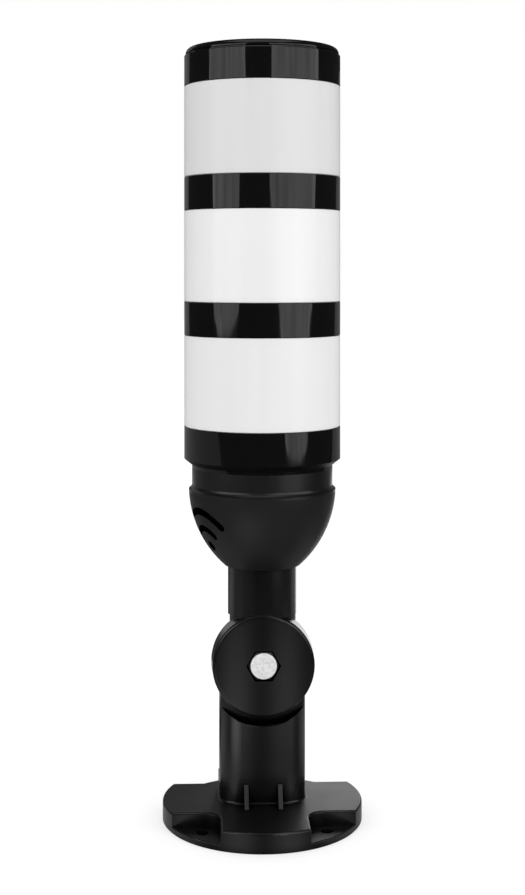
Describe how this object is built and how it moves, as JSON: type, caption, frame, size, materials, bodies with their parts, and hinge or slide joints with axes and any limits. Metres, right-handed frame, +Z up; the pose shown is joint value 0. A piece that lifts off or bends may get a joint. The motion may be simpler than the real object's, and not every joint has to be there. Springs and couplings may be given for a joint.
{
  "type": "stack light",
  "caption": "Signal tower of stacked milky lamp tiers with a sounder bowl, on a short mast that folds at a clamped knuckle above a round screw-down foot.",
  "frame": {"origin": "centre of the foot plate's underside, on the mast's axis", "axes": "+Z up along the mast, -Y out of the knuckle's bolt-head face, +X to the right when that face is looked at"},
  "size_m": [0.0892, 0.0892, 0.3453],
  "materials": {
    "bracket_black": "satin black moulded glass-filled nylon, finely spark-eroded",
    "housing_black": "matt black moulded ABS, finely spark-eroded",
    "ring_gloss_black": "high-gloss black moulded ABS",
    "milky_lens": "smooth milky white translucent polycarbonate",
    "plated_steel": "bright zinc-plated steel",
    "screw_steel": "zinc-plated steel",
    "black_rubber": "black rubber",
    "nylon_washer": "natural nylon",
    "buzzer_black": "black plastic sounder case",
    "board_green": "green solder-masked circuit board",
    "terminal_green": "green terminal block",
    "plug_ivory": "ivory connector moulding",
    "core_white": "white moulded carrier",
    "strip_white": "white solder-masked strip board",
    "led_yellow": "surface-mounted light-emitting diode with phosphor"
  },
  "bodies": {
    "base": {"base_bracket": "bracket_black", "knuckle_washer": "nylon_washer"},
    "head": {"upper_bracket": "bracket_black", "pivot_bolt": "plated_steel", "pivot_nut": "plated_steel", "pivot_washer": "plated_steel", "pivot_spring_washer": "plated_steel", "mast_gasket": "black_rubber", "neck_seal": "black_rubber", "lens_seals": "black_rubber", "mast_nut": "housing_black", "buzzer_bowl": "housing_black", "neck_collar": "housing_black", "buzzer": "buzzer_black", "driver_board": "board_green", "terminal_block": "terminal_green", "housing_screws": "screw_steel", "tier_screws": "screw_steel", "base_ring": "ring_gloss_black", "ring_1": "ring_gloss_black", "ring_2": "ring_gloss_black", "cap": "ring_gloss_black", "lens_1": "milky_lens", "tier_board_1": "board_green", "tier_plug_1": "plug_ivory", "led_core_1": "core_white", "led_strips_1": "strip_white", "leds_1": "led_yellow", "lens_2": "milky_lens", "tier_board_2": "board_green", "tier_plug_2": "plug_ivory", "led_core_2": "core_white", "led_strips_2": "strip_white", "leds_2": "led_yellow", "lens_3": "milky_lens", "tier_board_3": "board_green", "tier_plug_3": "plug_ivory", "led_core_3": "core_white", "led_strips_3": "strip_white", "leds_3": "led_yellow"}
  },
  "joints": [
    {"name": "fold_hinge", "type": "hinge", "parent": "base", "child": "head", "pos_m": [0, 0, 0.0716], "axis": [0, 1, 0], "range_deg": [-90, 90]}
  ]
}
